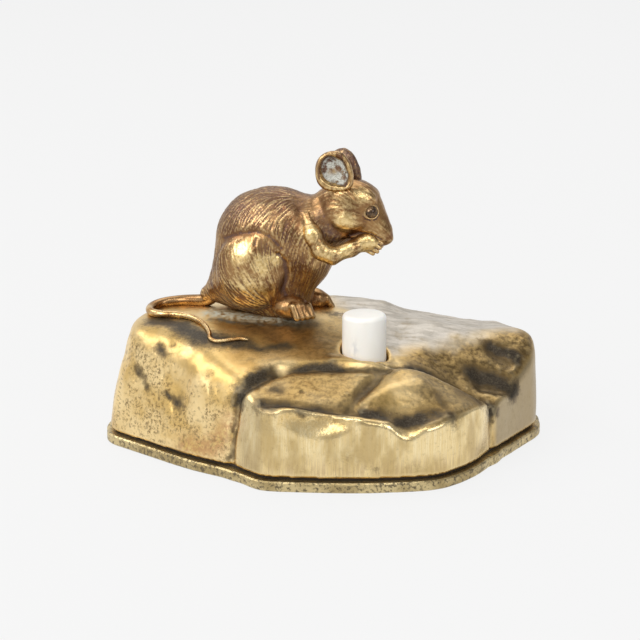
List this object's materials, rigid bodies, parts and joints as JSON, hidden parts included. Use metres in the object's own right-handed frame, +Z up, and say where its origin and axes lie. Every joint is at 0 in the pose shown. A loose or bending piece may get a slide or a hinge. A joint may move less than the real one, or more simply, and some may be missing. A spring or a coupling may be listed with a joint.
{
  "type": "table bell push",
  "caption": "Bronze mouse sitting up to eat on a hollow cast rock, built as a table call button: a white push button in front of it closes a pair of spring contacts inside the rock.",
  "frame": {"origin": "on the table, under the middle of the base plate", "axes": "+Z up, +X to the right along the front edge, +Y away from the person who presses the button"},
  "size_m": [0.1024, 0.0738, 0.0683],
  "materials": {
    "rock_bronze": "cast and filed, worn golden with dark hollows",
    "plate_brass": "filed edge, dull",
    "mouse_bronze": "chased, warm brown patina rubbed golden",
    "fibre": "dark pressed fibre",
    "bone": "turned and polished, ivory white",
    "eye_glass": "dark glossy bead",
    "screw_brass": "turned",
    "spring_brass": "rolled sheet",
    "block_wood": "oiled hardwood",
    "hard_rubber": "turned ebonite"
  },
  "bodies": {
    "rock_and_mouse": {"base_plate": "plate_brass", "insulating_sheet": "fibre", "base_screw_1": "screw_brass", "base_screw_2": "screw_brass", "base_screw_3": "screw_brass", "base_screw_4": "screw_brass", "block_screw_1": "screw_brass", "block_screw_2": "screw_brass", "rock_shell": "rock_bronze", "cord_bush": "hard_rubber", "mouse_body": "mouse_bronze", "mouse_ear_near": "mouse_bronze", "mouse_ear_far": "mouse_bronze", "mouse_foreleg_near": "mouse_bronze", "mouse_foreleg_far": "mouse_bronze", "mouse_hind_foot_near": "mouse_bronze", "mouse_hind_foot_far": "mouse_bronze", "mouse_tail": "mouse_bronze", "mouse_eye_near": "eye_glass", "mouse_eye_far": "eye_glass", "mouse_stud_rear": "screw_brass", "mouse_stud_front": "screw_brass", "stud_washer_rear": "screw_brass", "stud_washer_front": "screw_brass", "stud_nut_rear": "screw_brass", "stud_nut_front": "screw_brass", "contact_block": "block_wood", "contact_leaf_tab": "spring_brass", "contact_strip": "spring_brass", "terminal_washer_leaf": "screw_brass", "terminal_washer_strip": "screw_brass", "terminal_screw_leaf": "screw_brass", "terminal_screw_strip": "screw_brass"},
    "button": {"push_button": "bone"},
    "leaf": {"contact_leaf": "spring_brass"}
  },
  "joints": [
    {"name": "button_press", "type": "slide", "parent": "rock_and_mouse", "child": "button", "axis": [0, 0, -1], "range_m": [0, 0.002], "stiffness_N_per_m": 400, "springref_m": -0.003},
    {"name": "leaf_bend", "type": "hinge", "parent": "rock_and_mouse", "child": "leaf", "pos_m": [-0.0037, -0.01071, 0.01074], "axis": [0, 1, 0], "range_deg": [0, 9.3]}
  ],
  "couplings": [
    {"joint": "leaf_bend", "follows": "button_press", "rad_per_m": 80.645}
  ]
}
